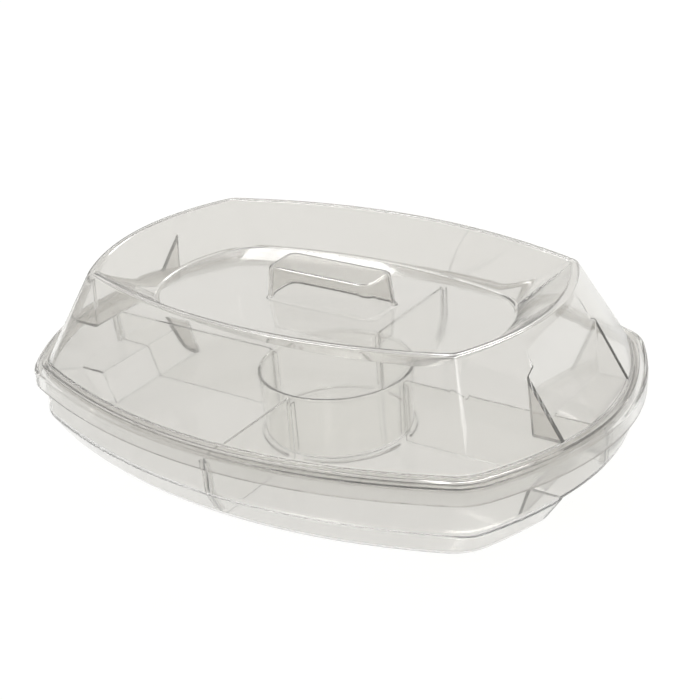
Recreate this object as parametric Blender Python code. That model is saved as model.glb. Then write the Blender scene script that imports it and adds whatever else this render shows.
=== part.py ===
"""Clear plastic chip and dip server: tray, sunken-top lid, dip cup and four divider plates.

Long direction along X, short direction along Y, Z up.  The origin is on the table
under the middle of the tray.
"""
import math

import bmesh
import bpy
import numpy as np
from mathutils import Vector

MM = 0.001

# ---- driving dimensions, millimetres -------------------------------------------------
SHEET = 2.4            # wall of the tray and of the lid
GAP = 0.35             # play between neighbouring pieces
SIDE_STEPS = 14        # facets along one bowed side
CORNER_STEPS = 5       # facets round one plan corner

# A plan outline is (corner x, corner y, bow of the end sides, bow of the long sides).
RIM_PLAN = (165.2, 110.5, 38.1, 37.0)      # outer edge of the tray rim
KNUCKLE_PLAN = (162.0, 106.0, 31.0, 33.0)  # outside of the wall where it turns in
FLOOR_PLAN = (152.0, 95.5, 24.8, 31.0)     # where the lower wall meets the floor
LID_TOP_PLAN = (136.5, 75.6, 21.4, 25.2)   # outside of the lid wall at the crest
DISH_PLAN = (106.0, 53.0, 18.0, 15.5)      # edge of the sunken floor of the lid
HANDLE_FOOT_PLAN = (41.5, 16.2, 0.0, 0.0)
HANDLE_TOP_PLAN = (39.4, 14.4, 0.0, 0.0)

RIM_TOP = 56.2
LIP_BOTTOM = 45.0
KNUCKLE_Z = 23.8
LID_FOOT_Z = RIM_TOP + 0.3
FLANGE = 2.1           # thickness of the lid's foot flange
FLANGE_OUT = 4.2       # how far the flange stands out from the lid wall
SKIRT_BOTTOM = 52.4    # lower edge of the lid's locating skirt
CREST_Z = 116.2
DISH_Z = 93.0
HANDLE_Z = 115.0

LEDGE_TOP = 24.6       # inner step over the tray's end grip
LEDGE_HALF = 47.0
LEDGE_FOOT_X = 157.4
LEDGE_TOP_X = 164.4

GRIP_HALF = 43.0       # half width of the lid's end grip
GRIP_SHELF = 59.1
GRIP_FOOT_X = 167.4
GRIP_TOP_X = 160.2

CUP_R = 50.6
CUP_FOOT_R = 49.8
CUP_BEAD_R = 51.7
CUP_WALL = 2.1
CUP_TOP = 47.2
CUP_STEPS = 72

PLATE = 2.4            # divider thickness
PLATE_TOP = 47.0
PLATE_IN = 52.2        # divider edge next to the cup
RIB = 1.4              # guide rib thickness
RIB_OUT = 2.8          # guide rib height off the wall

for _old in list(bpy.data.objects):
    bpy.data.objects.remove(_old, do_unlink=True)


# ---- plan outlines --------------------------------------------------------------------
def inset(plan, d):
    """The plan moved inward by d all round (outward when d is negative)."""
    a, b, s, r = plan
    n1 = Vector((1.0, 2.0 * s / b)).normalized()
    n2 = Vector((2.0 * r / a, 1.0)).normalized()
    k = d / (1.0 + n1.dot(n2))
    da, db = k * (n1.x + n2.x), k * (n1.y + n2.y)
    return (a - da, b - db, s - (d - da), r - (d - db))


def blend(p, q, t):
    """The plan a part t of the way from p to q."""
    return tuple(u + (v - u) * t for u, v in zip(p, q))


def plan_loop(plan, z, soft):
    """Points of one closed plan outline at height z; soft is the corner easing."""
    a, b, s, r = plan
    pts = []

    def end_side(y):
        return a + s * (1.0 - (y / b) ** 2)

    def long_side(x):
        return b + r * (1.0 - (x / a) ** 2)

    cy, cx = b - soft, a - soft
    quarter = []
    for i in range(SIDE_STEPS // 2 + 1):
        y = cy * i / (SIDE_STEPS // 2)
        quarter.append((end_side(y), y))
    p0, p2 = (end_side(cy), cy), (cx, long_side(cx))
    # control point: where the tangents of the two sides meet
    t0 = Vector((-2.0 * s * cy / (b * b), 1.0)).normalized()
    t2 = Vector((1.0, -2.0 * r * cx / (a * a))).normalized()
    det = t0.x * t2.y - t0.y * t2.x
    wx, wy = p2[0] - p0[0], p2[1] - p0[1]
    m = (wx * t2.y - wy * t2.x) / det
    p1 = (p0[0] + t0.x * m, p0[1] + t0.y * m)
    for i in range(1, CORNER_STEPS):
        t = i / CORNER_STEPS
        u = 1.0 - t
        quarter.append(tuple(u * u * p0[k] + 2 * u * t * p1[k] + t * t * p2[k]
                             for k in range(2)))
    for i in range(SIDE_STEPS // 2 + 1):
        x = cx * (1.0 - i / (SIDE_STEPS // 2))
        quarter.append((x, long_side(x)))
    one = quarter[:-1]
    two = [(-x, y) for x, y in reversed(quarter[1:])]
    three = [(-x, -y) for x, y in one]
    four = [(x, -y) for x, y in reversed(quarter[1:])]
    for x, y in one + two + three + four:
        pts.append((x, y, z))
    return pts


# ---- sheet profiles -------------------------------------------------------------------
def other_side(path, thick):
    """Profile a sheet thickness to the left of the path; entries are (plan, z, soft)."""
    mids = [(p[0] + p[2], z) for p, z, _ in path]
    out = []
    for i, (plan, z, soft) in enumerate(path):
        prev = Vector(mids[i]) - Vector(mids[i - 1]) if i else None
        nxt = Vector(mids[i + 1]) - Vector(mids[i]) if i + 1 < len(path) else None
        ns = [Vector((-d.y, d.x)).normalized() for d in (prev, nxt) if d is not None]
        n = ns[0] if len(ns) == 1 else (ns[0] + ns[1]) / (1.0 + ns[0].dot(ns[1]))
        out.append((inset(plan, -thick * n.x), z + thick * n.y, soft))
    return out


def loft(name, levels):
    """One closed body through a row of plan levels, flat at the two ends."""
    bm = bmesh.new()
    rings = []
    for plan, z, soft in levels:
        rings.append([bm.verts.new(Vector(p) * MM) for p in plan_loop(plan, z, soft)])
    n = len(rings[0])
    for lo, hi in zip(rings, rings[1:]):
        for i in range(n):
            j = (i + 1) % n
            bm.faces.new((lo[i], lo[j], hi[j], hi[i]))
    bm.faces.new(list(reversed(rings[0])))
    bm.faces.new(rings[-1])
    bmesh.ops.recalc_face_normals(bm, faces=bm.faces)
    return make_object(name, bm)


def make_object(name, bm):
    """A linked object holding the mesh."""
    mesh = bpy.data.meshes.new(name)
    bm.to_mesh(mesh)
    bm.free()
    obj = bpy.data.objects.new(name, mesh)
    bpy.context.scene.collection.objects.link(obj)
    return obj


def prism(name, outline, axis, lo, hi, bevel=0.0):
    """A flat outline drawn out along one axis ("x" or "y") between lo and hi."""
    bm = bmesh.new()
    ends = []
    for w in (lo, hi):
        ring = []
        for u, z in outline:
            p = (w, u, z) if axis == "x" else (u, w, z)
            ring.append(bm.verts.new(Vector(p) * MM))
        ends.append(ring)
    n = len(outline)
    for i in range(n):
        j = (i + 1) % n
        bm.faces.new((ends[0][i], ends[0][j], ends[1][j], ends[1][i]))
    bm.faces.new(list(reversed(ends[0])))
    bm.faces.new(ends[1])
    bmesh.ops.recalc_face_normals(bm, faces=bm.faces)
    if bevel:
        bmesh.ops.bevel(bm, geom=list(bm.edges), offset=bevel * MM, segments=3,
                        profile=0.5, affect="EDGES", clamp_overlap=True)
    return make_object(name, bm)


def spin_body(name, outline):
    """A closed body of revolution; the outline runs from the axis round to the axis."""
    bm = bmesh.new()
    rings = []
    for r, z in outline:
        if r == 0.0:
            rings.append([bm.verts.new((0.0, 0.0, z * MM))])
            continue
        ring = []
        for i in range(CUP_STEPS):
            t = 2.0 * math.pi * i / CUP_STEPS
            ring.append(bm.verts.new((r * MM * math.cos(t), r * MM * math.sin(t), z * MM)))
        rings.append(ring)
    for lo, hi in zip(rings, rings[1:]):
        for i in range(CUP_STEPS):
            j = (i + 1) % CUP_STEPS
            if len(lo) == 1:
                bm.faces.new((lo[0], hi[i], hi[j]))
            elif len(hi) == 1:
                bm.faces.new((lo[j], lo[i], hi[0]))
            else:
                bm.faces.new((lo[i], lo[j], hi[j], hi[i]))
    bmesh.ops.recalc_face_normals(bm, faces=bm.faces)
    return make_object(name, bm)


def ring_sector(name, r0, r1, z0, z1, a0, a1, steps=10):
    """Part of a flat ring between two angles in degrees."""
    bm = bmesh.new()
    cols = []
    for i in range(steps + 1):
        t = math.radians(a0 + (a1 - a0) * i / steps)
        cols.append([bm.verts.new((r * MM * math.cos(t), r * MM * math.sin(t), z * MM))
                     for r, z in ((r0, z0), (r1, z0), (r1, z1), (r0, z1))])
    for p, q in zip(cols, cols[1:]):
        for i in range(4):
            j = (i + 1) % 4
            bm.faces.new((p[i], p[j], q[j], q[i]))
    bm.faces.new(list(reversed(cols[0])))
    bm.faces.new(cols[-1])
    bmesh.ops.recalc_face_normals(bm, faces=bm.faces)
    return make_object(name, bm)


def helper(obj):
    """Marks a shape that only cuts or joins another one."""
    obj.hide_render = True
    obj.display_type = "WIRE"
    return obj


def combine(obj, tool, operation):
    """Joins, cuts or intersects obj with a helper shape."""
    mod = obj.modifiers.new(tool.name, "BOOLEAN")
    mod.operation = operation
    mod.solver = "EXACT"
    mod.object = helper(tool)
    return obj


def material(name, colour, roughness):
    """A clear moulded plastic."""
    mat = bpy.data.materials.new(name)
    mat.use_nodes = True
    bsdf = mat.node_tree.nodes["Principled BSDF"]
    bsdf.inputs["Base Color"].default_value = (*colour, 1.0)
    bsdf.inputs["Roughness"].default_value = roughness
    bsdf.inputs["Metallic"].default_value = 0.0
    return mat


def finish(obj, mat, angle=32.0):
    """Gives a piece its plastic and its smooth faces."""
    obj.data.materials.clear()
    obj.data.materials.append(mat)
    obj.data.shade_smooth()
    obj.data.set_sharp_from_angle(angle=math.radians(angle))
    return obj


# ---- the tray -------------------------------------------------------------------------
WALL_TOP_PLAN = inset(RIM_PLAN, 7.3)       # outside of the wall under the rim
under = [
    (inset(FLOOR_PLAN, 7.0), 0.0, 16.0),
    (inset(FLOOR_PLAN, 3.4), 0.5, 14.0),
    (inset(FLOOR_PLAN, 0.9), 2.2, 12.0),
    (inset(FLOOR_PLAN, -0.8), 4.8, 11.0),
    (blend(inset(FLOOR_PLAN, -0.8), KNUCKLE_PLAN, 0.5), 13.0, 8.0),
    (inset(KNUCKLE_PLAN, 1.3), 21.2, 7.0),
    (inset(KNUCKLE_PLAN, 0.1), 24.0, 7.0),
    (blend(KNUCKLE_PLAN, WALL_TOP_PLAN, 0.25), 28.0, 7.0),
    (blend(KNUCKLE_PLAN, WALL_TOP_PLAN, 0.95), 51.6, 8.0),
    (inset(WALL_TOP_PLAN, -0.7), RIM_TOP - SHEET - 0.4, 8.0),
    (inset(WALL_TOP_PLAN, -1.7), RIM_TOP - SHEET, 8.0),
    (inset(RIM_PLAN, SHEET + 0.9), RIM_TOP - SHEET, 9.0),
    (inset(RIM_PLAN, SHEET + 0.2), RIM_TOP - SHEET - 0.7, 9.0),
    (inset(RIM_PLAN, SHEET), LIP_BOTTOM, 9.0),
]
upper = other_side(under, SHEET)
upper[-1] = (RIM_PLAN, LIP_BOTTOM, 9.0)
tray = loft("tray", under + list(reversed(upper)))

middle = other_side(under[:9], SHEET * 0.5)
tray_core = loft("tray_core", [middle[0]] + middle[1:])
helper(tray_core)


def ledge_outline(sign, off, low):
    """Section of the inner step over the end grip, drawn in by off."""
    fx, tx, top = LEDGE_FOOT_X + off, LEDGE_TOP_X + off, LEDGE_TOP - off
    pts = [(fx - 0.6, low), (fx, 3.0), (tx - 1.0, top - 3.4), (tx + 0.2, top - 1.2),
           (tx + 2.4, top), (215.0, top), (215.0, low)]
    return [(sign * x, z) for x, z in pts]


for side, sign in (("left", -1.0), ("right", 1.0)):
    step = prism("ledge_" + side, ledge_outline(sign, 0.0, 1.1), "y",
                 -LEDGE_HALF, LEDGE_HALF)
    combine(step, tray_core, "INTERSECT")
    combine(tray, step, "UNION")
    hollow = prism("hand_hollow_" + side, ledge_outline(sign, SHEET, -6.0), "y",
                   -LEDGE_HALF + SHEET, LEDGE_HALF - SHEET)
    combine(tray, hollow, "DIFFERENCE")


def wall_line(long_side):
    """Inner face of the tray through its middle: (distance from the centre, z)."""
    out = []
    for plan, z, _ in upper[:10]:
        a, b, s, r = plan
        out.append((b + r if long_side else a + s, z))
    return out


def at_height(line, z):
    """Distance of the inner wall from the centre at height z."""
    for (x0, z0), (x1, z1) in zip(line, line[1:]):
        if z0 <= z <= z1:
            return x0 + (x1 - x0) * (z - z0) / (z1 - z0)
    return line[-1][0]


def rib_outline(line, lows, top):
    """Outline of one guide rib: it hugs the wall inside and roots in it outside."""
    inner = [(at_height(line, z) - RIB_OUT, z) for z in lows]
    outer = [(at_height(line, z) + 1.0, z) for z in lows]
    return inner[:-1] + [(inner[-1][0], top - 1.6), (inner[-1][0] + 1.6, top)] \
        + [(outer[-1][0], top)] + list(reversed(outer[:-1]))


RIB_IN = PLATE / 2 + GAP
end_line, long_line = wall_line(False), wall_line(True)
for tag, axis, sign in (("right", "y", 1.0), ("left", "y", -1.0),
                        ("back", "x", 1.0), ("front", "x", -1.0)):
    line = end_line if axis == "y" else long_line
    lows = (LEDGE_TOP - 1.0, 30.0, 46.0) if axis == "y" else (9.0, 14.0, 21.0, 26.0, 46.0)
    shape = [(sign * u, z) for u, z in rib_outline(line, lows, 46.0)]
    for k, hand in enumerate((1.0, -1.0)):
        lo, hi = sorted((hand * RIB_IN, hand * (RIB_IN + RIB)))
        combine(tray, prism("tray_rib_%s_%d" % (tag, k), shape, axis, lo, hi), "UNION")

for k in range(4):
    arc = ring_sector("cup_ring_%d" % k, 50.9, 52.4, 1.4, 4.2, 90.0 * k + 8.0,
                      90.0 * k + 82.0)
    combine(tray, arc, "UNION")

# ---- the lid --------------------------------------------------------------------------
LID_FOOT_PLAN = inset(RIM_PLAN, 9.6)       # outside of the lid wall at its foot
top_path = [
    (inset(HANDLE_TOP_PLAN, 3.0), HANDLE_Z, 6.0),
    (inset(HANDLE_TOP_PLAN, 1.0), HANDLE_Z - 0.5, 7.5),
    (HANDLE_TOP_PLAN, HANDLE_Z - 2.2, 8.5),
    (HANDLE_FOOT_PLAN, DISH_Z + 6.0, 9.0),
    (inset(HANDLE_FOOT_PLAN, -1.6), DISH_Z + 2.4, 10.0),
    (inset(HANDLE_FOOT_PLAN, -5.2), DISH_Z, 12.0),
    (inset(DISH_PLAN, 3.6), DISH_Z, 26.0),
    (DISH_PLAN, DISH_Z + 1.3, 26.0),
    (blend(DISH_PLAN, LID_TOP_PLAN, 0.25), DISH_Z + 7.0, 22.0),
    (inset(LID_TOP_PLAN, 4.2), CREST_Z - 1.2, 11.0),
    (inset(LID_TOP_PLAN, 2.9), CREST_Z, 9.0),
    (inset(LID_TOP_PLAN, 1.1), CREST_Z, 8.0),
    (inset(LID_TOP_PLAN, -0.2), CREST_Z - 1.3, 7.0),
    (LID_FOOT_PLAN, LID_FOOT_Z + FLANGE, 8.0),
]
bottom_path = other_side([(p, z, s) for p, z, s in reversed(top_path)], SHEET)
skirt_plan = inset(LID_FOOT_PLAN, 0.6)
foot = [
    (inset(LID_FOOT_PLAN, -FLANGE_OUT + 0.4), LID_FOOT_Z + FLANGE, 8.0),
    (inset(LID_FOOT_PLAN, -FLANGE_OUT), LID_FOOT_Z + FLANGE - 0.5, 8.0),
    (inset(LID_FOOT_PLAN, -FLANGE_OUT), LID_FOOT_Z, 8.0),
    (skirt_plan, LID_FOOT_Z, 8.0),
    (inset(skirt_plan, 0.3), SKIRT_BOTTOM, 8.0),
    (inset(skirt_plan, 2.2), SKIRT_BOTTOM, 8.0),
]
inner_foot = inset(LID_FOOT_PLAN, 3.1)
lid = loft("lid", top_path + foot + [(inner_foot, LID_FOOT_Z + FLANGE, 8.0)]
           + bottom_path[1:])
mid_path = other_side([(p, z, s) for p, z, s in reversed(top_path[8:])], SHEET * 0.5)
lid_core = loft("lid_core", [(inset(LID_FOOT_PLAN, 1.4), LID_FOOT_Z - 0.9, 8.0)]
                + mid_path[1:3])
helper(lid_core)


def grip_outline(sign, off, low, high):
    """Section of the end grip: a leaning panel over a level shelf."""
    slope = (GRIP_FOOT_X - GRIP_TOP_X) / (112.0 - GRIP_SHELF)
    x0 = GRIP_FOOT_X - off - slope * (low - GRIP_SHELF)
    x1 = GRIP_FOOT_X - off - slope * (high - GRIP_SHELF)
    return [(sign * x0, low), (sign * 215.0, low), (sign * 215.0, high), (sign * x1, high)]


for side, sign in (("left", -1.0), ("right", 1.0)):
    box = prism("grip_walls_" + side,
                grip_outline(sign, SHEET, GRIP_SHELF - SHEET, 113.2), "y",
                -GRIP_HALF - SHEET, GRIP_HALF + SHEET)
    combine(box, lid_core, "INTERSECT")
    combine(lid, box, "UNION")
for side, sign in (("left", -1.0), ("right", 1.0)):
    cut = prism("grip_cut_" + side, grip_outline(sign, 0.0, GRIP_SHELF, 130.0), "y",
                -GRIP_HALF, GRIP_HALF)
    combine(lid, cut, "DIFFERENCE")

# ---- the dip cup ----------------------------------------------------------------------
z0 = SHEET + 0.35
cup = spin_body("dip_cup", [
    (0.0, z0 + 1.0), (44.0, z0 + 1.0), (45.0, z0), (CUP_FOOT_R - 2.2, z0),
    (CUP_FOOT_R - 0.6, z0 + 0.7), (CUP_FOOT_R, z0 + 2.2), (CUP_R - 0.1, CUP_TOP - 4.4),
    (CUP_BEAD_R - 0.4, CUP_TOP - 3.4), (CUP_BEAD_R, CUP_TOP - 2.6),
    (CUP_BEAD_R, CUP_TOP - 0.8), (CUP_BEAD_R - 0.8, CUP_TOP),
    (CUP_R - CUP_WALL + 0.7, CUP_TOP), (CUP_R - CUP_WALL, CUP_TOP - 0.7),
    (CUP_FOOT_R - CUP_WALL, z0 + 8.0), (CUP_FOOT_R - CUP_WALL - 1.4, z0 + 5.0),
    (CUP_FOOT_R - CUP_WALL - 4.6, z0 + 3.4), (0.0, z0 + 3.2),
])
for tag, axis, sign in (("right", "y", 1.0), ("left", "y", -1.0),
                        ("back", "x", 1.0), ("front", "x", -1.0)):
    shape = [(sign * u, z) for u, z in (
        (CUP_R - 1.2, 8.0), (53.6, 8.0), (54.6, 9.0), (54.6, 41.6), (53.0, 43.4),
        (CUP_R - 1.2, 43.4))]
    for k, hand in enumerate((1.0, -1.0)):
        lo, hi = sorted((hand * RIB_IN, hand * (RIB_IN + RIB)))
        combine(cup, prism("cup_rib_%s_%d" % (tag, k), shape, axis, lo, hi), "UNION")


# ---- the dividers ---------------------------------------------------------------------
def clear_of(line):
    """The inner wall line drawn in by the play, floor end first."""
    mids = [Vector(p) for p in line]
    out = []
    for i, p in enumerate(mids):
        d = [q for q in ((p - mids[i - 1]) if i else None,
                         (mids[i + 1] - p) if i + 1 < len(mids) else None) if q]
        ns = [Vector((-q.y, q.x)).normalized() for q in d]
        n = ns[0] if len(ns) == 1 else (ns[0] + ns[1]) / (1.0 + ns[0].dot(ns[1]))
        out.append((p.x + GAP * n.x, p.y + GAP * n.y))
    return out


def divider(tag, axis, sign):
    """One plate from the cup to the wall, its lower edge following the tray."""
    line = clear_of(end_line if axis == "y" else long_line)
    floor_z = SHEET + GAP
    tail = [p for p in line if p[1] < PLATE_TOP - 1.5]
    end_x = at_height(line, PLATE_TOP - 1.5)
    tail = tail + [(end_x, PLATE_TOP - 1.5), (end_x - 1.5, PLATE_TOP)]
    if axis == "y":
        low = [(PLATE_IN, floor_z), (LEDGE_FOOT_X - GAP - 0.4, floor_z),
               (LEDGE_TOP_X - 1.0 - GAP - 0.1, LEDGE_TOP - 3.3),
               (LEDGE_TOP_X - 0.1, LEDGE_TOP - 0.8),
               (LEDGE_TOP_X + 2.3, LEDGE_TOP + GAP)]
        tail = [(at_height(line, LEDGE_TOP + GAP), LEDGE_TOP + GAP)] \
            + [p for p in tail if p[1] > LEDGE_TOP + 1.0]
    else:
        low = [(PLATE_IN, floor_z)]
    shape = [(sign * u, z) for u, z in low + tail + [(PLATE_IN + 1.0, PLATE_TOP),
                                                     (PLATE_IN, PLATE_TOP - 1.0)]]
    return prism("divider_" + tag, shape, axis, -PLATE / 2, PLATE / 2)


plates = [divider("left", "y", -1.0), divider("right", "y", 1.0),
          divider("front", "x", -1.0), divider("back", "x", 1.0)]

# ---- plastics -------------------------------------------------------------------------
finish(tray, material("tray_clear_plastic", (0.90, 0.91, 0.90), 0.05))
finish(lid, material("lid_clear_plastic", (0.91, 0.92, 0.91), 0.05))
finish(cup, material("cup_clear_plastic", (0.90, 0.91, 0.90), 0.05))
for plate in plates:
    finish(plate, material(plate.name + "_clear_plastic", (0.90, 0.91, 0.90), 0.05))
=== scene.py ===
"""Clear plastic chip and dip server: bowed tray, sunken-top lid, dip cup and divider plates.

Every moulding is drawn as a thin closed sheet with rounded edges, in metres, in the
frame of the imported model, and rides on the body of the piece that it stands for.
"""
import logging
import math
from dataclasses import dataclass, field
from enum import Enum
from typing import Callable, Sequence

import bmesh
import bpy
from mathutils import Matrix, Vector


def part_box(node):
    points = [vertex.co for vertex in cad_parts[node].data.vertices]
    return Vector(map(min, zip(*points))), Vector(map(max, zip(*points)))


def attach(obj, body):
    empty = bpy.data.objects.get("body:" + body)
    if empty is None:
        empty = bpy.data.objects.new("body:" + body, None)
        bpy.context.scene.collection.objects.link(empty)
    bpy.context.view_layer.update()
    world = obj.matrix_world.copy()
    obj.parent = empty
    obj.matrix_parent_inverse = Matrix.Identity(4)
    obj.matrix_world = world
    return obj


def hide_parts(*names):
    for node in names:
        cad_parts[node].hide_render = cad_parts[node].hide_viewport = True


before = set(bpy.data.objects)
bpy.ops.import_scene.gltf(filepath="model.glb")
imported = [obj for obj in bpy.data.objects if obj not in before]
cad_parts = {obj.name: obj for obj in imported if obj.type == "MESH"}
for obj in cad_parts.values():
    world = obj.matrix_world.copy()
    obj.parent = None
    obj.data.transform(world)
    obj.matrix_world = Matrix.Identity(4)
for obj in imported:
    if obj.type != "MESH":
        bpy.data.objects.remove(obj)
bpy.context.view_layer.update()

logging.basicConfig(level=logging.INFO, format="%(message)s")
LOG = logging.getLogger("chip_and_dip")

MM = 0.001
PAST_END = 230.0  # mm from the middle: where a cutter ends, clear of the server
OUTSIDE = 200.0  # mm from the middle: only the outer end of a cutter lies beyond this
NEARLY = 0.1  # mm: slack when edges are picked by their place
WELD = 0.00001  # m: points closer than this become one
HALF_RUN = 0.48  # the largest share of a straight run that one curve may take
SIGNS = (1.0, -1.0)
RIM_END_BOW = 38.1  # mm
RIM_SIDE_BOW = 37.0  # mm
LID_PLAY = 0.3  # mm between the lid and the rim that it rests on

Point = tuple[float, float, float]
Ring = list[Point]


class Along(Enum):
    """The direction that a divider plate or a prism runs in."""

    X = "x"
    Y = "y"


class Join(Enum):
    """How a helper shape changes a moulding."""

    ADD = "UNION"
    CUT = "DIFFERENCE"
    KEEP = "INTERSECT"


# ---------------------------------------------------------------------------------------
# Plan outlines and wall sections
# ---------------------------------------------------------------------------------------
@dataclass(frozen=True)
class Plan:
    """A four-sided plan outline with bowed sides, in millimetres.

    The corners stand at (corner_x, corner_y); the end sides bow out by end_bow and the
    long sides by long_bow.
    """

    corner_x: float
    corner_y: float
    end_bow: float
    long_bow: float

    @property
    def reach_x(self) -> float:
        """Half the length over the bowed ends."""
        return self.corner_x + self.end_bow

    @property
    def reach_y(self) -> float:
        """Half the width over the bowed long sides."""
        return self.corner_y + self.long_bow

    def inset(self, distance: float) -> "Plan":
        """Moves every side inward.

        Args:
            distance: How far, in millimetres; negative moves outward.

        Returns:
            The new outline.
        """
        end = Vector((1.0, 2.0 * self.end_bow / self.corner_y)).normalized()
        side = Vector((2.0 * self.long_bow / self.corner_x, 1.0)).normalized()
        share = distance / (1.0 + end.dot(side))
        dx, dy = share * (end.x + side.x), share * (end.y + side.y)
        return Plan(self.corner_x - dx, self.corner_y - dy,
                    self.end_bow - (distance - dx), self.long_bow - (distance - dy))

    def towards(self, other: "Plan", part: float) -> "Plan":
        """Blends this outline into another.

        Args:
            other: The outline at part 1.
            part: How far along, from 0 to 1.

        Returns:
            The outline in between.
        """
        pairs = zip(self.values(), other.values())
        return Plan(*(u + (v - u) * part for u, v in pairs))

    def values(self) -> tuple[float, float, float, float]:
        """The four sizes in order."""
        return self.corner_x, self.corner_y, self.end_bow, self.long_bow

    def end_at(self, y: float) -> float:
        """Distance of the bowed end from the middle at a given y."""
        return self.corner_x + self.end_bow * (1.0 - (y / self.corner_y) ** 2)

    def side_at(self, x: float) -> float:
        """Distance of the bowed long side from the middle at a given x."""
        return self.corner_y + self.long_bow * (1.0 - (x / self.corner_x) ** 2)

    def ring(self, z: float, ease: float, side_steps: int, corner_steps: int) -> Ring:
        """Points round the outline.

        Args:
            z: Height in millimetres.
            ease: How far from a corner its rounding begins, in millimetres.
            side_steps: Even number of steps along each bowed side.
            corner_steps: Steps round each corner.

        Returns:
            The points in metres, starting at the middle of the right end.
        """
        half = side_steps // 2
        cx, cy = self.corner_x - ease, self.corner_y - ease
        quarter = [(self.end_at(cy * i / half), cy * i / half) for i in range(half + 1)]
        start, stop = Vector(quarter[-1]), Vector((cx, self.side_at(cx)))
        run = Vector((-2.0 * self.end_bow * cy / self.corner_y ** 2, 1.0))
        rise = Vector((1.0, -2.0 * self.long_bow * cx / self.corner_x ** 2))
        span = stop - start
        reach = (span.x * rise.y - span.y * rise.x) / (run.x * rise.y - run.y * rise.x)
        bend = start + run * reach
        for i in range(1, corner_steps):
            t = i / corner_steps
            quarter.append(tuple(start * (1 - t) ** 2 + bend * 2 * t * (1 - t)
                                 + stop * t * t))
        quarter += [(cx * (1.0 - i / half), self.side_at(cx * (1.0 - i / half)))
                    for i in range(half + 1)]
        first, back = quarter[:-1], list(reversed(quarter[1:]))
        full = first + [(-x, y) for x, y in back] + [(-x, -y) for x, y in first] \
            + [(x, -y) for x, y in back]
        return [(x * MM, y * MM, z * MM) for x, y in full]


@dataclass(frozen=True)
class Station:
    """One bend of a wall section: where it is and how softly each face turns there."""

    plan: Plan
    z: float
    ease: float = 8.0
    near: float = 0.0
    far: float = 0.0

    def mid(self) -> Vector:
        """Its place in the middle section: distance from the centre, and height."""
        return Vector((self.plan.reach_x, self.z))

    def towards(self, other: "Station", part: float) -> "Station":
        """Blends place and easing.

        Args:
            other: The station at part 1.
            part: How far along, from 0 to 1.

        Returns:
            A station in between.
        """
        return Station(self.plan.towards(other.plan, part),
                       self.z + (other.z - self.z) * part,
                       self.ease + (other.ease - self.ease) * part)


def facing(line: Sequence[Vector], i: int) -> list[Vector]:
    """Finds which way a line faces on both sides of one of its points.

    Args:
        line: Points of the line.
        i: Number of the point.

    Returns:
        Unit normals, to the left, of the run before the point and the run after it.
    """
    here = line[i]
    runs = (here - line[max(i - 1, 0)], line[min(i + 1, len(line) - 1)] - here)
    return [Vector((-r.y, r.x)).normalized() for r in runs if r.length > 1e-9]


def opposite_face(section: Sequence[Station], wall: float) -> list[Station]:
    """Finds the other face of a sheet.

    Args:
        section: The first face, from one end of the sheet to the other.
        wall: Thickness, to the left of the section; negative is to the right.

    Returns:
        The stations of the other face, in the same order.
    """
    mids = [s.mid() for s in section]
    out: list[Station] = []
    for i, s in enumerate(section):
        norms = facing(mids, i)
        n = norms[0] if len(norms) == 1 else \
            (norms[0] + norms[1]) / (1.0 + norms[0].dot(norms[1]))
        out.append(Station(s.plan.inset(-wall * n.x), s.z + wall * n.y, s.ease, s.far))
    return out


def rounded(section: Sequence[Station], steps: int = 5) -> list[Station]:
    """Turns every bend into a smooth curve.

    Args:
        section: The bends; near is how far from a bend its curve begins.
        steps: Steps in each curve.

    Returns:
        The finer section.
    """
    fine = [section[0]]
    for before, bend, after in zip(section, section[1:], section[2:]):
        back, on = before.mid() - bend.mid(), after.mid() - bend.mid()
        if bend.near <= 0.0:
            fine.append(bend)
            continue
        start = bend.towards(before, min(bend.near / back.length, HALF_RUN))
        stop = bend.towards(after, min(bend.near / on.length, HALF_RUN))
        for i in range(steps + 1):
            t = i / steps
            fine.append(start.towards(bend, t).towards(bend.towards(stop, t), t))
    fine.append(section[-1])
    return fine


# ---------------------------------------------------------------------------------------
# Modelling by hand
# ---------------------------------------------------------------------------------------
def let_go() -> None:
    """Deselects every object."""
    if bpy.context.mode != "OBJECT":
        bpy.ops.object.mode_set(mode="OBJECT")
    for obj in bpy.context.selected_objects:
        obj.select_set(False)


def pick(obj: bpy.types.Object) -> None:
    """Makes one object the only one selected, and the active one."""
    let_go()
    obj.select_set(True)
    bpy.context.view_layer.objects.active = obj


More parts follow.
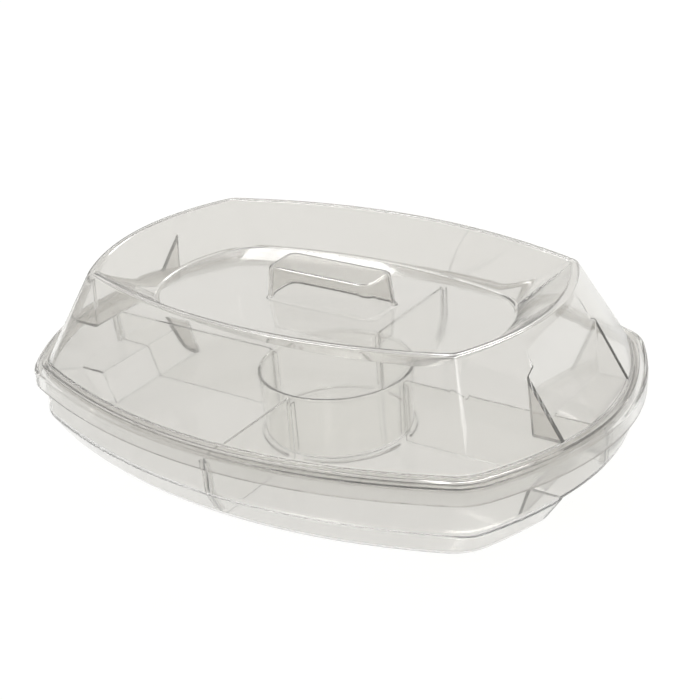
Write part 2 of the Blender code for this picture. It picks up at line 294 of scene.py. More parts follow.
def raise_rings(name: str, rings: Sequence[Ring]) -> bpy.types.Object:
    """Draws a closed body by extruding a flat disc from ring to ring.

    Args:
        name: Object name.
        rings: Rings with equal numbers of points, from one flat end to the other.

    Returns:
        The object, in object mode, with its faces pointing outward.
    """
    let_go()
    bpy.ops.mesh.primitive_circle_add(vertices=len(rings[0]), radius=0.1,
                                      fill_type="NGON", location=(0.0, 0.0, 0.0))
    obj = bpy.context.object
    obj.name = obj.data.name = name
    bpy.ops.object.mode_set(mode="EDIT")
    mesh = bmesh.from_edit_mesh(obj.data)
    place = mesh.verts.layers.int.new("place")
    mesh.verts.ensure_lookup_table()
    for i, vert in enumerate(mesh.verts):
        vert[place] = i
        vert.co = rings[0][i]
    bmesh.update_edit_mesh(obj.data)
    bpy.ops.mesh.select_all(action="SELECT")
    for ring in rings[1:]:
        bpy.ops.mesh.extrude_region_move(TRANSFORM_OT_translate={"value": (0, 0, 0)})
        mesh = bmesh.from_edit_mesh(obj.data)
        place = mesh.verts.layers.int["place"]
        for vert in mesh.verts:
            if vert.select:
                vert.co = ring[vert[place]]
        bmesh.update_edit_mesh(obj.data)
    bpy.ops.mesh.select_all(action="SELECT")
    bpy.ops.mesh.normals_make_consistent(inside=False)
    mesh = bmesh.from_edit_mesh(obj.data)
    mesh.verts.layers.int.remove(mesh.verts.layers.int["place"])
    bmesh.update_edit_mesh(obj.data)
    bpy.ops.object.mode_set(mode="OBJECT")
    return obj


def soften(obj: bpy.types.Object, width: float, steps: int = 3, sharp: float = 25.0,
           choose: Callable[[Vector, Vector], bool] | None = None) -> None:
    """Bevels the edges of a fresh shape.

    Args:
        obj: The shape.
        width: Bevel width in millimetres.
        steps: Segments across the bevel.
        sharp: Only edges that turn by more than this many degrees.
        choose: Test on an edge's two ends, in millimetres; every edge when None.
    """
    pick(obj)
    bpy.ops.object.mode_set(mode="EDIT")
    bpy.ops.mesh.select_mode(type="EDGE")
    bpy.ops.mesh.select_all(action="DESELECT")
    mesh = bmesh.from_edit_mesh(obj.data)
    for edge in mesh.edges:
        if len(edge.link_faces) != 2:
            continue
        ends = [v.co / MM for v in edge.verts]
        turned = math.degrees(edge.calc_face_angle(0.0)) > sharp
        edge.select_set(turned and (choose is None or choose(*ends)))
    bmesh.update_edit_mesh(obj.data)
    bpy.ops.mesh.bevel(offset=width * MM, segments=steps, profile=0.5,
                       affect="EDGES", clamp_overlap=True)
    bpy.ops.mesh.select_mode(type="VERT")
    bpy.ops.object.mode_set(mode="OBJECT")


def prism(name: str, outline: Sequence[tuple[float, float]], along: Along,
          low: float, high: float) -> bpy.types.Object:
    """Draws a flat outline out into a bar.

    Args:
        name: Object name.
        outline: Points of the section, in millimetres: distance and height.
        along: X for an outline that lies across X and is drawn along Y; Y the reverse.
        low: Where the bar starts, in millimetres.
        high: Where it ends.

    Returns:
        The bar.
    """
    def ring(w: float) -> Ring:
        """The outline at one end of the bar."""
        return [(u * MM, w * MM, z * MM) if along is Along.X else (w * MM, u * MM, z * MM)
                for u, z in outline]
    return raise_rings(name, [ring(low), ring(high)])


def circle(radius: float, z: float, steps: int) -> Ring:
    """A level circle about the Z axis, in metres."""
    return [(radius * MM * math.cos(2 * math.pi * i / steps),
             radius * MM * math.sin(2 * math.pi * i / steps), z * MM)
            for i in range(steps)]


def work(obj: bpy.types.Object, tool: bpy.types.Object, how: Join) -> None:
    """Joins, cuts or trims a moulding with a helper, which is used up.

    Args:
        obj: The moulding.
        tool: The helper shape.
        how: What the helper does.
    """
    pick(obj)
    bpy.ops.object.modifier_add(type="BOOLEAN")
    mod = obj.modifiers[-1]
    mod.operation, mod.solver, mod.object = how.value, "EXACT", tool
    bpy.ops.object.modifier_apply(modifier=mod.name)
    bpy.data.objects.remove(tool, do_unlink=True)


def add_rib_pair(body: bpy.types.Object, shape: Sequence[tuple[float, float]], along: Along,
                 slot: float, rib: float) -> None:
    """Moulds two guide ribs, with a slot between them for a divider plate.

    Args:
        body: The moulding that carries the ribs.
        shape: Outline of a rib, in millimetres.
        along: The direction that the plate runs in.
        slot: Half the width of the slot.
        rib: Thickness of each rib.
    """
    for hand in SIGNS:
        low, high = sorted((hand * slot, hand * (slot + rib)))
        bar = prism("guide_rib", shape, along, low, high)
        soften(bar, 0.42, 2, 60.0)
        work(body, bar, Join.ADD)


def polish(obj: bpy.types.Object, angle: float = 30.0) -> None:
    """Shades a moulding smooth, with its flat faces kept flat.

    Args:
        obj: The moulding.
        angle: Edges that turn by more than this stay crisp.
    """
    pick(obj)
    bpy.ops.object.mode_set(mode="EDIT")
    bpy.ops.mesh.select_all(action="SELECT")
    bpy.ops.mesh.remove_doubles(threshold=WELD)
    bpy.ops.mesh.dissolve_degenerate(threshold=WELD)
    bpy.ops.mesh.normals_make_consistent(inside=False)
    bpy.ops.object.mode_set(mode="OBJECT")
    bpy.ops.object.shade_smooth_by_angle(angle=math.radians(angle))
    bpy.ops.object.modifier_add(type="WEIGHTED_NORMAL")
    mod = obj.modifiers[-1]
    mod.keep_sharp, mod.weight = True, 80
    bpy.ops.object.modifier_apply(modifier=mod.name)


# ---------------------------------------------------------------------------------------
# Finishes
# ---------------------------------------------------------------------------------------
def linear(hex_colour: str) -> tuple[float, float, float, float]:
    """Turns an sRGB hex colour into linear light.

    Args:
        hex_colour: Six hex digits after a hash.

    Returns:
        Red, green, blue and an alpha of one.
    """
    parts = [int(hex_colour[i:i + 2], 16) / 255.0 for i in (1, 3, 5)]
    out = [c / 12.92 if c <= 0.04045 else ((c + 0.055) / 1.055) ** 2.4 for c in parts]
    return out[0], out[1], out[2], 1.0


def add_node(tree: bpy.types.NodeTree, kind: str,
             settings: dict[str, object] | None = None,
             values: dict[str, object] | None = None,
             links: dict[str, bpy.types.NodeSocket] | None = None) -> bpy.types.Node:
    """Adds a node with its settings, values and incoming links.

    Args:
        tree: The node tree.
        kind: The node's type name.
        settings: Attributes of the node.
        values: Constants for its inputs, by input name.
        links: Sockets that feed its inputs, by input name.

    Returns:
        The node.
    """
    node = tree.nodes.new(kind)
    for key, value in (settings or {}).items():
        setattr(node, key, value)
    for key, value in (values or {}).items():
        node.inputs[key].default_value = value
    for key, socket in (links or {}).items():
        tree.links.new(socket, node.inputs[key])
    return node


def per_metre(spacing_mm: float) -> float:
    """Noise scale of a pattern with the given spacing in millimetres."""
    return 1.0 / (spacing_mm * MM)


@dataclass(frozen=True)
class ClearStyrene:
    """Clear crystal polystyrene, injection moulded in a polished steel tool.

    The polish gives sharp glassy reflections; slow waves from uneven shrinkage make
    them swim a little, and handling leaves faint hairline scuffs that soften them.
    """

    name: str
    tint: str = "#F6F5F3"
    depth_tint: str = "#D8D7D5"
    depth: float = 6.0
    haze: float = 0.05
    ior: float = 1.59
    polish: float = 0.03
    scuff: float = 0.05
    hair_mm: float = 1.6
    hair_stretch: float = 0.22
    hair_turn: float = 24.0
    patch_mm: float = 30.0
    wave_mm: float = 46.0
    wave_strength: float = 0.05
    offset: tuple[float, float, float] = (0.0, 0.0, 0.0)

    def make(self) -> bpy.types.Material:
        """Builds the material.

        Returns:
            The finished material.
        """
        mat = bpy.data.materials.new(self.name)
        mat.use_nodes = True
        tree = mat.node_tree
        tree.nodes.clear()
        spot = add_node(tree, "ShaderNodeTexCoord")
        shifted = add_node(tree, "ShaderNodeMapping", values={"Location": self.offset},
                           links={"Vector": spot.outputs["Object"]})
        stretched = add_node(tree, "ShaderNodeMapping",
                             values={"Scale": (self.hair_stretch, 1.0, 1.0),
                                     "Rotation": (0.0, 0.0, math.radians(self.hair_turn))},
                             links={"Vector": shifted.outputs["Vector"]})
        # hairline scuffs, several times as long as wide, drawn coarse enough to show
        hairs = add_node(tree, "ShaderNodeTexNoise",
                         values={"Scale": per_metre(self.hair_mm), "Detail": 3.0,
                                 "Roughness": 0.6},
                         links={"Vector": stretched.outputs["Vector"]})
        # patches where hands have dulled the polish
        patches = add_node(tree, "ShaderNodeTexNoise",
                           values={"Scale": per_metre(self.patch_mm), "Detail": 2.0},
                           links={"Vector": shifted.outputs["Vector"]})
        worn = add_node(tree, "ShaderNodeMath", {"operation": "MULTIPLY"},
                        links={0: hairs.outputs["Fac"], 1: patches.outputs["Fac"]})
        rough = add_node(tree, "ShaderNodeMapRange",
                         values={"From Min": 0.18, "From Max": 0.42,
                                 "To Min": self.polish, "To Max": self.polish + self.scuff},
                         links={"Value": worn.outputs[0]})
        # slow waves left by uneven shrinkage in the tool
        waves = add_node(tree, "ShaderNodeTexNoise",
                         values={"Scale": per_metre(self.wave_mm), "Detail": 1.0,
                                 "Roughness": 0.3},
                         links={"Vector": shifted.outputs["Vector"]})
        swim = add_node(tree, "ShaderNodeBump",
                        values={"Strength": self.wave_strength, "Distance": MM},
                        links={"Height": waves.outputs["Fac"]})
        shader = add_node(tree, "ShaderNodeBsdfPrincipled",
                          values={"Base Color": linear(self.tint), "Metallic": 0.0,
                                  "IOR": self.ior,
                                  "Transmission Weight": 1.0 - self.haze},
                          links={"Roughness": rough.outputs["Result"],
                                 "Normal": swim.outputs["Normal"]})
        inside = add_node(tree, "ShaderNodeVolumeAbsorption",
                          values={"Color": linear(self.depth_tint), "Density": self.depth})
        add_node(tree, "ShaderNodeOutputMaterial",
                 links={"Surface": shader.outputs["BSDF"],
                        "Volume": inside.outputs["Volume"]})
        return mat


@dataclass(frozen=True)
class LightTable:
    """Translucent white acrylic sheet, lit from below, with a faint mottle.

    The light through it leaves no shadow and shows clear plastic as an even pale grey.
    """

    name: str = "studio_light_table"
    light: str = "#FAFAF9"
    dark: str = "#F6F6F4"
    unlit: str = "#303030"
    glow: float = 1.06
    mottle_per_metre: float = 9.0

    def make(self) -> bpy.types.Material:
        """Builds the material.

        Returns:
            The finished material.
        """
        mat = bpy.data.materials.new(self.name)
        mat.use_nodes = True
        tree = mat.node_tree
        tree.nodes.clear()
        spot = add_node(tree, "ShaderNodeTexCoord")
        mottle = add_node(tree, "ShaderNodeTexNoise",
                          values={"Scale": self.mottle_per_metre, "Detail": 2.0},
                          links={"Vector": spot.outputs["Object"]})
        shade = add_node(tree, "ShaderNodeMix", {"data_type": "RGBA"},
                         links={"Factor": mottle.outputs["Fac"]})
        shade.inputs[6].default_value = linear(self.light)
        shade.inputs[7].default_value = linear(self.dark)
        shader = add_node(tree, "ShaderNodeBsdfPrincipled",
                          values={"Base Color": linear(self.unlit), "Roughness": 0.9,
                                  "Specular IOR Level": 0.05,
                                  "Emission Strength": self.glow},
                          links={"Emission Color": shade.outputs[2]})
        add_node(tree, "ShaderNodeOutputMaterial",
                 links={"Surface": shader.outputs["BSDF"]})
        return mat


def settle(obj: bpy.types.Object, node: str, finish: ClearStyrene) -> bpy.types.Object:
    """Gives a moulding its finish and the body that it rides on.

    Args:
        obj: The finished moulding.
        node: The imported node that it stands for, which is also its body's name.
        finish: Its plastic.

    Returns:
        The moulding.
    """
    obj.data.materials.clear()
    obj.data.materials.append(finish.make())
    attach(obj, node)
    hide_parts(node)
    faces = sum(len(p.vertices) - 2 for p in obj.data.polygons)
    LOG.info("%s: %d triangles in %s", obj.name, faces, finish.name)
    return obj


# ---------------------------------------------------------------------------------------
# The tray
# ---------------------------------------------------------------------------------------
SIDE_STEPS = 40
CORNER_STEPS = 12


def cast(name: str, section: Sequence[Station]) -> bpy.types.Object:
    """Raises a moulding through every station of its section."""
    return raise_rings(name, [s.plan.ring(s.z, s.ease, SIDE_STEPS, CORNER_STEPS)
                              for s in section])


@dataclass
class TrayWall:
    """Where the inside of the tray is, for what stands against it."""

    ends: list[Vector] = field(default_factory=list)
    sides: list[Vector] = field(default_factory=list)

    @staticmethod
    def at(line: Sequence[Vector], z: float) -> float:
        """Distance of the wall from the middle at a height.

        Args:
            line: The wall line, from the floor up.
            z: Height in millimetres.

        Returns:
            The distance in millimetres.
        """
        for a, b in zip(line, line[1:]):
            if a.y <= z <= b.y and b.y > a.y:
                return a.x + (b.x - a.x) * (z - a.y) / (b.y - a.y)
        return line[-1].x


@dataclass
class Tray:
    """The base: floor, tapered lower wall, knuckle, upper wall and turned-down rim.

    Sizes are in millimetres, and seat_gap in degrees. A step is the raised ledge inside
    each end, and its hollow is the finger grip under it. step_foot and step_edge are how
    far from the middle its leaning front begins, at step_low, and ends, at step_top.
    """

    rim: Plan
    top: float
    sheet: float = 2.4
    lip: float = 11.2
    knuckle: Plan = Plan(162.0, 106.0, 31.0, 33.0)
    knuckle_z: float = 23.0
    floor: Plan = Plan(152.0, 95.5, 24.8, 31.0)
    neck_in: float = 7.3
    rim_ease: float = 9.0
    lip_round: float = 0.6
    curve_steps: int = 8
    step_low: float = 3.0
    step_top: float = 24.6
    step_half: float = 47.0
    step_foot: float = 157.4
    step_edge: float = 164.4
    step_round: float = 1.3
    step_sheet: float = 1.5
    hollow_round: float = 0.3
    nose_steps: int = 6
    rib_slot: float = 1.55
    rib: float = 1.4
    rib_out: float = 2.8
    rib_top: float = 45.0
    seat_gap: float = 8.0
    wall: TrayWall = field(default_factory=TrayWall)

    def section(self) -> list[Station]:
        """Lays out the underside.

        Returns:
            Its bends, from the floor out to the edge of the lip.
        """
        neck = self.rim.inset(self.neck_in)
        low = self.top - self.sheet
        return [
            Station(self.floor.inset(16.0), 0.0, 18.0),
            Station(self.floor.inset(-0.4), 0.0, 12.0, 9.0, 6.2),
            Station(self.knuckle, self.knuckle_z, 7.0, 3.2, 2.2),
            Station(neck.inset(0.1), low, 8.0, 1.5, 3.4),
            Station(self.rim.inset(self.sheet), low, self.rim_ease, 0.9, 2.6),
            Station(self.rim.inset(self.sheet), self.top - self.lip, self.rim_ease),
        ]

    def sheet_body(self) -> bpy.types.Object:
        """Raises the plain tray and notes its inner wall.

        Returns:
            The tray before its end steps and ribs.
        """
        lip_z = self.top - self.lip
        under = self.section()
        inner = opposite_face(under, self.sheet)
        inner[-1] = Station(self.rim, lip_z, self.rim_ease)
        below, above = rounded(under, self.curve_steps), rounded(inner, self.curve_steps)
        for face in (below, above):
            face[-1] = Station(face[-1].plan, lip_z + self.lip_round, self.rim_ease)
        bead = [Station(self.rim.inset(self.sheet * share), lip_z, self.rim_ease)
                for share in (0.75, 0.25)]
        # the wall line stops where the rim begins to turn down
        for s in above[:-self.curve_steps - 1]:
            self.wall.ends.append(Vector((s.plan.reach_x, s.z)))
            self.wall.sides.append(Vector((s.plan.reach_y, s.z)))
        return cast("tray_moulding", below + bead + list(reversed(above)))

    def core(self) -> bpy.types.Object:
        """Fills the tray to halfway through its wall, to trim the end steps."""
        half = opposite_face(self.section()[:4], self.sheet * 0.5)
        return cast("tray_core", rounded(half, 6))

    def step_outline(self, sign: float, drawn: float,
                     low: float) -> list[tuple[float, float]]:
        """Section of the step over an end grip.

        Args:
            sign: 1 for the right end and -1 for the left.
            drawn: How far inside the step's own faces, in millimetres.
            low: Height of its underside.

        Returns:
            Points of the outline, in millimetres.
        """
        foot, edge = self.step_foot + drawn, self.step_edge + drawn
        top = self.step_top - drawn
        lean = (edge - foot) / (top - self.step_low)
        turn = self.step_round if drawn == 0.0 else self.hollow_round
        nose = []
        for i in range(self.nose_steps + 1):
            t = i / self.nose_steps
            back, down = turn * t * t, turn * (1.0 - t) ** 2
            nose.append((edge + back - lean * down, top - down))
        pts = [(foot - lean * (self.step_low - low), low), (foot, self.step_low), *nose,
               (PAST_END, top), (PAST_END, low)]
        return [(sign * x, z) for x, z in pts]

    def step_block(self, sign: float, drawn: float, low: float, edge: float,
                   steps: int) -> bpy.types.Object:
        """A block the shape of a step or of its hollow, eased round both side faces.

        Args:
            sign: 1 for the right end and -1 for the left.
            drawn: How far inside the step's own faces, in millimetres.
            low: Height of its underside.
            edge: Width of the easing.
            steps: Facets across the easing.

        Returns:
            The block.
        """
        half = self.step_half - drawn

        def on_side(a: Vector, b: Vector) -> bool:
            """Whether an edge bounds a side face, above the foot and inside the wall."""
            return (max(a.z, b.z) > self.step_low - NEARLY
                    and min(abs(a.y), abs(b.y)) > half - NEARLY
                    and min(abs(a.x), abs(b.x)) < OUTSIDE)

        block = prism("step", self.step_outline(sign, drawn, low), Along.X, -half, half)
        soften(block, edge, steps, 60.0, on_side)
        return block

    def add_step(self, tray: bpy.types.Object, sign: float) -> None:
        """Moulds one inner step and hollows the finger grip under it.

        Args:
            tray: The tray.
            sign: 1 for the right end and -1 for the left.
        """
        block = self.step_block(sign, 0.0, self.sheet / 2.0 - NEARLY, 1.0, 3)
        work(block, self.core(), Join.KEEP)
        work(tray, block, Join.ADD)
        hollow = self.step_block(sign, self.step_sheet, -6.0, self.hollow_round, 2)
        work(tray, hollow, Join.CUT)
        self.ease_foot(tray, sign, self.sheet, 0.0, 1.3)
        self.ease_foot(tray, sign, 0.0, self.step_sheet, 0.7)

    def ease_foot(self, tray: bpy.types.Object, sign: float, z: float, drawn: float,
                  width: float) -> None:
        """Rounds the corner that a step or its hollow makes with the floor.

        Args:
            tray: The tray.
            sign: 1 for the right end and -1 for the left.
            z: Height of the corner, in millimetres.
            drawn: How far inside the step's own faces the corner lies.
            width: Width of the rounding.
        """
        front, side = self.step_foot + drawn - 1.2, self.step_half - drawn + 0.4

        def on_corner(a: Vector, b: Vector) -> bool:
            """Whether an edge lies along the corner."""
            level = max(abs(a.z - z), abs(b.z - z)) < 0.02
            inside = max(abs(a.y), abs(b.y)) < side and min(sign * a.x, sign * b.x) > front
            return level and inside

        soften(tray, width, 3, 30.0, on_corner)

    def add_ribs(self, tray: bpy.types.Object) -> None:
        """Moulds the four pairs of guide ribs that hold the divider plates.

        Args:
            tray: The tray.
        """
        high = self.rib_top
        for along in Along:
            # heights at which a rib follows the wall: over the step, or from the floor's curve
            if along is Along.X:
                line, steps = self.wall.ends, [self.step_top - 1.2]
            else:
                line, steps = self.wall.sides, [8.6, 11.0, 14.0, 18.0, 22.0, 24.5]
            steps += [31.0, 38.0]
            face = [(self.wall.at(line, z) - self.rib_out, z) for z in steps]
            top = self.wall.at(line, high)
            tip = top - self.rib_out
            nose = [(tip, high - 1.4), (tip + 0.5, high), (tip + 1.5, high + 0.9),
                    (top + 1.0, high + 1.1)]
            back = [(self.wall.at(line, z) + 1.0, z) for z in reversed(steps)]
            for sign in SIGNS:
                shape = [(sign * u, z) for u, z in face + nose + back]
                add_rib_pair(tray, shape, along, self.rib_slot, self.rib)

    def add_cup_seat(self, tray: bpy.types.Object, steps: int = 20) -> None:
        """Moulds the four low arcs on the floor that keep the cup in the middle.

        Args:
            tray: The tray.
            steps: Facets along each arc.
        """
        ridge = ((50.9, 1.4), (52.4, 1.4), (52.4, 3.6), (52.1, 4.1), (51.2, 4.1), (50.9, 3.6))
        sweep = 90.0 - 2.0 * self.seat_gap
        for quarter in range(4):
            rings = []
            for i in range(steps + 1):
                t = math.radians(90.0 * quarter + self.seat_gap + sweep * i / steps)
                rings.append([(r * MM * math.cos(t), r * MM * math.sin(t), z * MM)
                              for r, z in ridge])
            work(tray, raise_rings("cup_seat", rings), Join.ADD)

    def build(self) -> bpy.types.Object:
        """Models the tray.

        Returns:
            The finished tray.
        """
        tray = self.sheet_body()
        for sign in SIGNS:
            self.add_step(tray, sign)
        self.add_ribs(tray)
        self.add_cup_seat(tray)
        polish(tray)
        return tray


# ---------------------------------------------------------------------------------------
# The lid
# ---------------------------------------------------------------------------------------
@dataclass
class Lid:
    """Sloping bowed walls, a sunken top with a hollow block handle, and end grips.

    Sizes are in millimetres. A grip's panel leans from grip_foot, at the height of its
    shelf, to grip_top, at grip_top_z; both are distances from the middle.
    """

    rim: Plan
    foot_z: float
    crest_z: float
    sheet: float = 1.6
    crest: Plan = Plan(136.5, 75.6, 21.4, 25.2)
    dish: Plan = Plan(106.0, 53.0, 18.0, 15.5)
    dish_z: float = 93.0
    handle_foot: Plan = Plan(41.5, 16.2, 0.01, 0.01)
    handle_top: Plan = Plan(39.4, 14.4, 0.01, 0.01)
    handle_z: float = 115.0
    foot_in: float = 9.6
    flange: float = 2.1
    flange_out: float = 4.2
    skirt: float = 4.1
    skirt_wall: float = 2.0
    inner_ease: float = 0.4
    grip_half: float = 43.0
    grip_shelf: float = 59.1
    grip_foot: float = 167.4
    grip_top: float = 163.4
    grip_top_z: float = 112.0

    @property
    def foot(self) -> Plan:
        """Outside of the wall where it meets the foot flange."""
        return self.rim.inset(self.foot_in)

    def section(self) -> list[Station]:
        """Lays out the upper face.

        Returns:
            Its bends, from the handle out to the foot flange.
        """
        return [
            Station(self.handle_top.inset(7.0), self.handle_z, 5.0),
            Station(self.handle_top, self.handle_z, 6.5, 2.4, 1.2),
            Station(self.handle_foot, self.dish_z, 7.5, 2.4, 3.0),
            Station(self.dish.inset(1.0), self.dish_z, 24.0, 1.9, 1.2),
            Station(self.crest.inset(3.6), self.crest_z, 5.0, 1.7, 0.8),
            Station(self.crest.inset(-0.35), self.crest_z, 3.4, 1.7, 0.8),
            Station(self.foot, self.foot_z + self.flange, 3.4),
        ]

    def sheet_body(self) -> bpy.types.Object:
        """Raises the lid without its end grips.

        Returns:
            The plain lid.
        """
        outer = self.section()
        inner = opposite_face(outer, -self.sheet)
        tuck = self.foot.inset(0.6)
        low = self.foot_z - self.skirt
        edge = self.foot.inset(-self.flange_out)
        shelf = self.foot_z + self.flange
        ledge = [
            Station(edge, shelf, 8.0, 0.6),
            Station(edge, self.foot_z, 8.0, 0.5),
            Station(tuck, self.foot_z, 8.0, 0.4),
            Station(tuck.inset(0.3), low, 8.0, 0.6),
            Station(tuck.inset(0.3 + self.skirt_wall), low, 8.0, 0.6),
            Station(self.foot.inset(self.sheet * 1.3), shelf, 8.0, 0.5),
        ]
        outer[-1] = Station(self.foot, shelf, 8.0, 0.8)
        back = list(reversed(inner[:-1]))
        # under the crest and the dish the inner face turns its plan corners more sharply
        for i, s in enumerate(back[:3]):
            back[i] = Station(s.plan, s.z, s.ease * self.inner_ease, s.near)
        return cast("lid_moulding", rounded(outer + ledge + back, 7))

    def core(self) -> bpy.types.Object:
        """Fills the lid to halfway through its wall, to trim the end grips.

        Returns:
            The solid.
        """
        half = opposite_face(self.section()[4:], -self.sheet * 0.5)
        low = Station(self.foot.inset(self.sheet * 0.58), self.foot_z - 0.9, 8.0)
        return cast("lid_core", [low, half[2], half[1]])

    def grip_outline(self, sign: float, drawn: float, low: float,
                     high: float) -> list[tuple[float, float]]:
        """Section of an end grip: a leaning panel over a level shelf.

        Args:
            sign: 1 for the right end and -1 for the left.
            drawn: How far behind the panel's face, in millimetres.
            low: Height of the underside.
            high: Height of the top.

        Returns:
            Points of the outline, in millimetres.
        """
        lean = (self.grip_foot - self.grip_top) / (self.grip_top_z - self.grip_shelf)
        foot = self.grip_foot - drawn - lean * (low - self.grip_shelf)
        head = self.grip_foot - drawn - lean * (high - self.grip_shelf)
        pts = [(foot, low), (PAST_END, low), (PAST_END, high), (head, high)]
        return [(sign * x, z) for x, z in pts]

    def grip_block(self, sign: float, drawn: float, high: float, edge: float,
                   steps: int) -> bpy.types.Object:
        """A block the shape of a grip, eased where its panel, cheeks and shelf meet.

        Args:
            sign: 1 for the right end and -1 for the left.
            drawn: How far outside the grip's own faces, in millimetres.
            high: Height of its top.
            edge: Width of the easing.
            steps: Facets across the easing.

        Returns:
            The block.
        """
        half, low = self.grip_half + drawn, self.grip_shelf - drawn
        block = prism("grip", self.grip_outline(sign, drawn, low, high), Along.X, -half, half)
        soften(block, edge, steps, 20.0, lambda a, b: max(abs(a.x), abs(b.x)) < OUTSIDE
               and min(a.z, b.z) < high - NEARLY)
        return block

    def add_grips(self, lid: bpy.types.Object) -> None:
        """Moulds the panel, cheeks and shelf of both end grips.

        Args:
            lid: The plain lid.
        """
        for sign in SIGNS:
            walls = self.grip_block(sign, self.sheet, self.grip_top_z + 1.2, 2.0, 4)
            work(walls, self.core(), Join.KEEP)
            work(lid, walls, Join.ADD)
        for sign in SIGNS:
            space = self.grip_block(sign, 0.0, self.grip_top_z + 20.0, 0.4, 2)
            work(lid, space, Join.CUT)

    def build(self) -> bpy.types.Object:
        """Models the lid.

        Returns:
            The finished lid.
        """
        lid = self.sheet_body()
        self.add_grips(lid)
        polish(lid)
        return lid


# ---------------------------------------------------------------------------------------
# The cup and the divider plates
# ---------------------------------------------------------------------------------------
@dataclass
class DipCup:
    """Round straight-sided cup with a beaded rim and guide ribs.

    Sizes are in millimetres; bead, side, foot and rib_out are radii.
    """

    low: float
    top: float
    bead: float = 51.2
    side: float = 50.6
    foot: float = 49.8
    sheet: float = 1.4
    rib_slot: float = 1.55
    rib: float = 0.9
    rib_out: float = 54.6
    steps: int = 144

    def outline(self) -> list[tuple[float, float]]:
        """Lays out the section.

        Returns:
            Its points, from the middle of the underside round to the middle of the inside.
        """
        z, top, inner = self.low, self.top, self.side - self.sheet
        turn = [(inner - 3.2 + 2.4 * math.cos(a), z + 3.8 - 2.4 * math.sin(a))
                for a in (math.radians(v) for v in range(0, 91, 18))]
        return [
            (20.0, z), (46.2, z), (47.5, z + 0.3), (48.6, z + 1.0), (49.4, z + 2.1),
            (self.foot, z + 3.6),
            (self.side - 0.1, top - 2.4), (self.side + 0.1, top - 2.1),
            (self.bead - 0.15, top - 1.8), (self.bead, top - 1.5), (self.bead, top - 0.6),
            (self.bead - 0.2, top - 0.2), (self.bead - 0.6, top),
            (inner + 0.5, top), (inner + 0.15, top - 0.2),
            (inner, top - 0.6), *turn, (20.0, z + 1.4),
        ]

    def build(self) -> bpy.types.Object:
        """Models the cup.

        Returns:
            The finished cup.
        """
        cup = raise_rings("dip_cup_moulding",
                          [circle(r, z, self.steps) for r, z in self.outline()])
        root, out, low, high = self.side - 1.2, self.rib_out, self.low, self.top
        rib = [(root, low + 5.2), (out - 1.2, low + 5.2), (out - 0.4, low + 5.6),
               (out, low + 6.6), (out, high - 6.0), (out - 0.4, high - 5.0),
               (out - 1.4, high - 4.0), (root, high - 3.8)]
        for along in Along:
            for sign in SIGNS:
                add_rib_pair(cup, [(sign * u, z) for u, z in rib], along, self.rib_slot,
                             self.rib)
        polish(cup)
        return cup


@dataclass
class DividerPlate:
    """A flat plate from the cup to the tray wall; its lower edge follows the tray.

    Sizes are in millimetres; play is the gap between the plate and the tray.
    """

    node: str
    along: Along
    sign: float
    tray: Tray
    top: float
    inner: float = 52.2
    thick: float = 1.9
    play: float = 0.35

    def lower_edge(self) -> list[tuple[float, float]]:
        """Follows the inside of the tray.

        Returns:
            Points along the floor and up the wall, outward from the cup.
        """
        tray, gap = self.tray, self.play
        line = tray.wall.ends if self.along is Along.X else tray.wall.sides
        pts: list[tuple[float, float]] = []
        for i, here in enumerate(line):
            n = sum(facing(line, i), Vector((0.0, 0.0))).normalized()
            pts.append((here.x + gap * n.x, here.y + gap * n.y))
        start = [(self.inner, tray.sheet + gap)]
        if self.along is Along.Y:
            return start + [p for p in pts if p[0] > self.inner + 1.0
                            and p[1] < self.top - 2.0]
        foot, top = tray.step_foot, tray.step_top
        # up the leaning front of the step and over its rounded nose
        rise = [(foot - gap - 0.5, tray.sheet + gap), (foot + 4.6, top - 5.4),
                (foot + 5.2, top - 3.4), (foot + 6.6, top - 1.2), (foot + 8.6, top + 0.1),
                (foot + 11.0, top + gap)]
        out = tray.wall.at(line, top + gap + 0.6) - gap
        return start + rise + [(out - 0.6, top + gap), (out, top + gap + 0.6)] \
            + [p for p in pts if top + 1.6 < p[1] < self.top - 2.0]

    def build(self) -> bpy.types.Object:
        """Models the plate.

        Returns:
            The finished plate.
        """
        low = self.lower_edge()
        far, z = low[-1][0], self.top
        head = [(far, z - 1.9), (far - 0.5, z - 0.7), (far - 1.6, z),
                (self.inner + 1.6, z), (self.inner + 0.5, z - 0.5), (self.inner, z - 1.6)]
        shape = [(self.sign * u, h) for u, h in low + head]
        plate = prism(self.node + "_plate", shape, self.along, -self.thick / 2,
                      self.thick / 2)
        soften(plate, 0.35, 2, 60.0)
        polish(plate)
        return plate


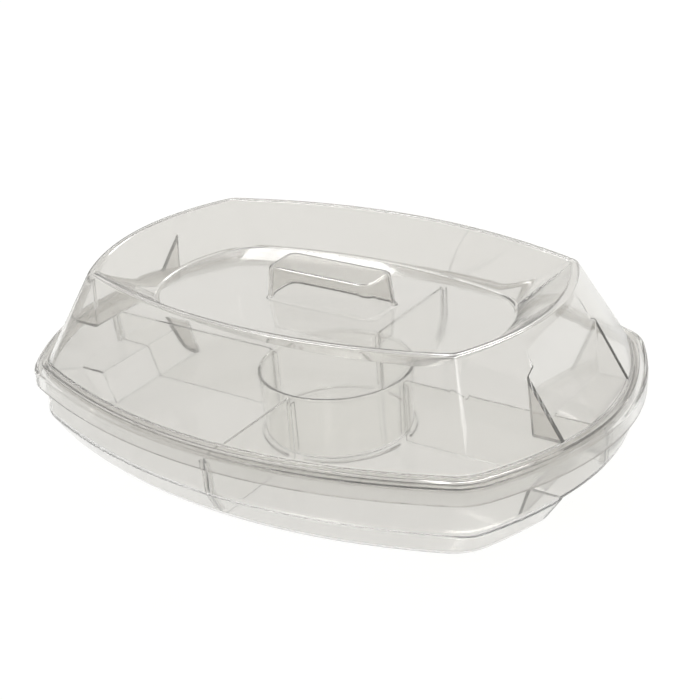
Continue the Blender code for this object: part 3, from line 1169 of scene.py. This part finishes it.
# ---------------------------------------------------------------------------------------
# The studio
# ---------------------------------------------------------------------------------------
@dataclass
class Studio:
    """Light table, soft boxes, air and the camera."""

    eye: Point = (0.53265, -0.72844, 0.49213)
    aim: Point = (-0.52368, 0.73261, -0.43479)
    roll: float = -4.07
    lens: float = 79.21
    film: float = 36.0
    table_size: float = 14.0
    table_drop: float = 0.0002
    dusk: float = 0.02
    day: float = 0.40
    low_light: float = 0.5
    high_light: float = 0.84

    def table(self) -> None:
        """Sets the light table just under the server."""
        let_go()
        bpy.ops.mesh.primitive_grid_add(x_subdivisions=8, y_subdivisions=8,
                                        size=self.table_size,
                                        location=(0.0, 0.0, -self.table_drop))
        sheet = bpy.context.object
        sheet.name = "studio_floor"
        sheet.data.materials.append(LightTable().make())

    def soft_box(self, name: str, place: Point, size: tuple[float, float],
                 power: float, target: Point = (0.0, 0.0, 0.05)) -> None:
        """Hangs one soft box.

        Args:
            name: Light name.
            place: Where it hangs, in metres.
            size: Its width and height.
            power: Watts.
            target: The point that it faces.
        """
        data = bpy.data.lights.new(name, "AREA")
        data.shape, data.size, data.size_y, data.energy = "RECTANGLE", *size, power
        box = bpy.data.objects.new(name, data)
        bpy.context.scene.collection.objects.link(box)
        box.location = place
        box.rotation_mode = "QUATERNION"
        box.rotation_quaternion = (Vector(target) - Vector(place)).to_track_quat("-Z", "Y")

    def camera(self) -> None:
        """Sets up the camera."""
        data = bpy.data.cameras.new("camera")
        data.lens, data.sensor_width = self.lens, self.film
        data.clip_start, data.clip_end = 0.05, 30.0
        cam = bpy.data.objects.new("camera", data)
        bpy.context.scene.collection.objects.link(cam)
        turn = Vector(self.aim).to_track_quat("-Z", "Y").to_matrix()
        turn = turn @ Matrix.Rotation(math.radians(self.roll), 3, "Z")
        cam.matrix_world = Matrix.Translation(self.eye) @ turn.to_4x4()
        bpy.context.scene.camera = cam

    def air(self, tree: bpy.types.NodeTree) -> None:
        """Lights the air: pale overhead, and darker near the ground to draw the edges.

        Args:
            tree: The world's node tree.
        """
        way = add_node(tree, "ShaderNodeTexCoord")
        parts = add_node(tree, "ShaderNodeSeparateXYZ",
                         links={"Vector": way.outputs["Generated"]})
        rise = add_node(tree, "ShaderNodeMapRange",
                        {"interpolation_type": "SMOOTHSTEP"},
                        {"From Min": self.dusk, "From Max": self.day,
                         "To Min": self.low_light, "To Max": self.high_light},
                        {"Value": parts.outputs["Z"]})
        back = tree.nodes["Background"]
        back.inputs["Color"].default_value = linear("#FBFAF7")
        tree.links.new(rise.outputs["Result"], back.inputs["Strength"])

    def build(self) -> None:
        """Sets the whole stage."""
        self.table()
        world = bpy.data.worlds.new("studio_air")
        bpy.context.scene.world = world
        world.use_nodes = True
        self.air(world.node_tree)
        self.soft_box("key_box", (-0.94, 0.9, 1.32), (0.3, 0.2), 1.1)
        self.soft_box("back_box", (-0.56, 1.31, 1.18), (0.35, 0.25), 1.8)
        self.soft_box("corner_box", (1.1, -0.75, 1.05), (0.3, 0.5), 1.3)
        self.camera()
        scene = bpy.context.scene
        scene.view_settings.view_transform = "Standard"
        scene.cycles.max_bounces = 28
        scene.cycles.transmission_bounces = 28
        scene.cycles.glossy_bounces = 20
        scene.cycles.diffuse_bounces = 4


def main() -> None:
    """Builds the studio and every piece, and reports each one."""
    rim_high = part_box("tray")[1]
    top = rim_high.z / MM
    rim = Plan(rim_high.x / MM - RIM_END_BOW, rim_high.y / MM - RIM_SIDE_BOW,
               RIM_END_BOW, RIM_SIDE_BOW)
    lid_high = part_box("lid")[1].z / MM
    cup_low, cup_high = (c.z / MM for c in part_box("dip_cup"))

    tray = Tray(rim=rim, top=top)
    settle(tray.build(), "tray", ClearStyrene("clear_styrene_tray", tint="#F0EFED"))
    lid = Lid(rim=rim, foot_z=top + LID_PLAY, crest_z=lid_high)
    settle(lid.build(), "lid", ClearStyrene("clear_styrene_lid", offset=(0.3, 0.1, 0.7)))
    cup = DipCup(low=cup_low, top=cup_high)
    settle(cup.build(), "dip_cup",
           ClearStyrene("clear_styrene_cup", tint="#FEFEFD", haze=0.005, depth=3.0,
                        offset=(0.9, 0.4, 0.2)))
    for i, (node, along, sign) in enumerate((
            ("divider_left", Along.X, -1.0), ("divider_right", Along.X, 1.0),
            ("divider_front", Along.Y, -1.0), ("divider_back", Along.Y, 1.0))):
        plate = DividerPlate(node, along, sign, tray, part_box(node)[1].z / MM)
        settle(plate.build(), node,
               ClearStyrene("clear_styrene_" + node, tint="#FDFDFC", haze=0.005, depth=14.0,
                            offset=(0.5 * i, 0.7, 0.3 * i)))
    Studio().build()


if __name__ == "__main__":
    main()
